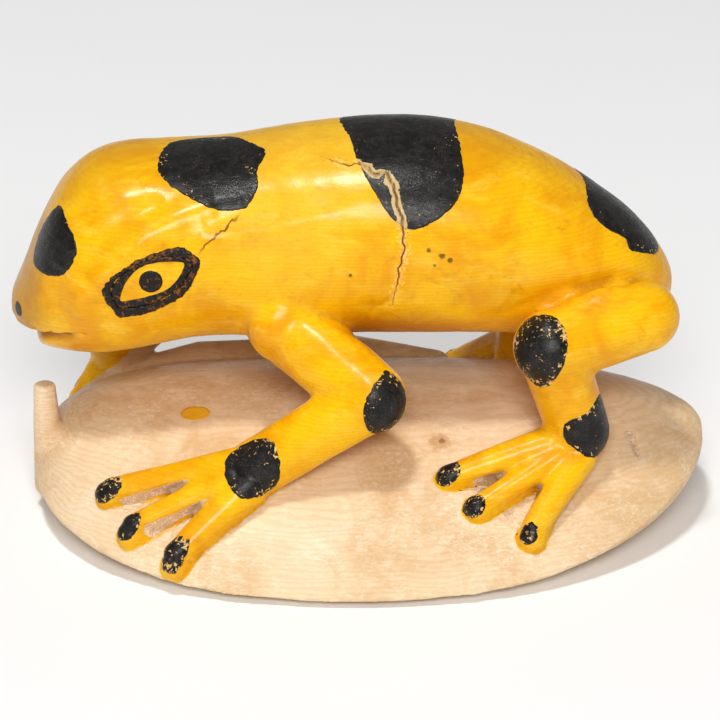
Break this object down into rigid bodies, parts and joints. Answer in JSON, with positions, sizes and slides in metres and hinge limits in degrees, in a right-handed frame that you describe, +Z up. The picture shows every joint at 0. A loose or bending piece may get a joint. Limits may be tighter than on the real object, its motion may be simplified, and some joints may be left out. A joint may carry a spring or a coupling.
{
  "type": "carved frog figurine",
  "caption": "Painted frog with bent legs standing on a domed leaf with a short stalk, carved as one piece; stands on its flat underside.",
  "frame": {"origin": "middle of the bounding box, on the flat underside that the leaf rests on", "axes": "+Z up; the frog faces -X along the leaf's length; its left side is towards -Y"},
  "size_m": [0.0598, 0.043, 0.0349],
  "materials": {
    "bare_nut": "polished ivory nut, unstained, fine wavy growth lines",
    "yellow_stain": "orange-yellow stain under gloss varnish over fine grain",
    "black_paint": "brushed black paint film, semi-gloss, worn at its edges",
    "eye_paint": "burnt and painted dark line, rough outside and glossy inside",
    "yellow_drip": "thin dried drip of yellow stain, satin"
  },
  "bodies": {
    "root": {"leaf_base": "bare_nut", "leaf_stalk": "bare_nut", "head": "yellow_stain", "trunk": "yellow_stain", "left_upper_arm": "yellow_stain", "left_forearm": "yellow_stain", "left_forefoot": "yellow_stain", "left_thigh": "yellow_stain", "left_shank": "yellow_stain", "left_hindfoot": "yellow_stain", "left_elbow_spot": "black_paint", "left_wrist_spot": "black_paint", "left_foretoe_spots": "black_paint", "left_knee_spot": "black_paint", "left_ankle_spot": "black_paint", "left_hindtoe_spots": "black_paint", "left_eye_outline": "eye_paint", "left_pupil": "eye_paint", "left_nostril": "black_paint", "right_upper_arm": "yellow_stain", "right_forearm": "yellow_stain", "right_forefoot": "yellow_stain", "right_thigh": "yellow_stain", "right_shank": "yellow_stain", "right_hindfoot": "yellow_stain", "right_elbow_spot": "black_paint", "right_wrist_spot": "black_paint", "right_foretoe_spots": "black_paint", "right_knee_spot": "black_paint", "right_ankle_spot": "black_paint", "right_hindtoe_spots": "black_paint", "right_eye_outline": "eye_paint", "right_pupil": "eye_paint", "right_nostril": "black_paint", "forehead_spot": "black_paint", "nape_spot": "black_paint", "back_spot": "black_paint", "rump_spot": "black_paint", "leaf_paint_drip": "yellow_drip"}
  },
  "joints": []
}
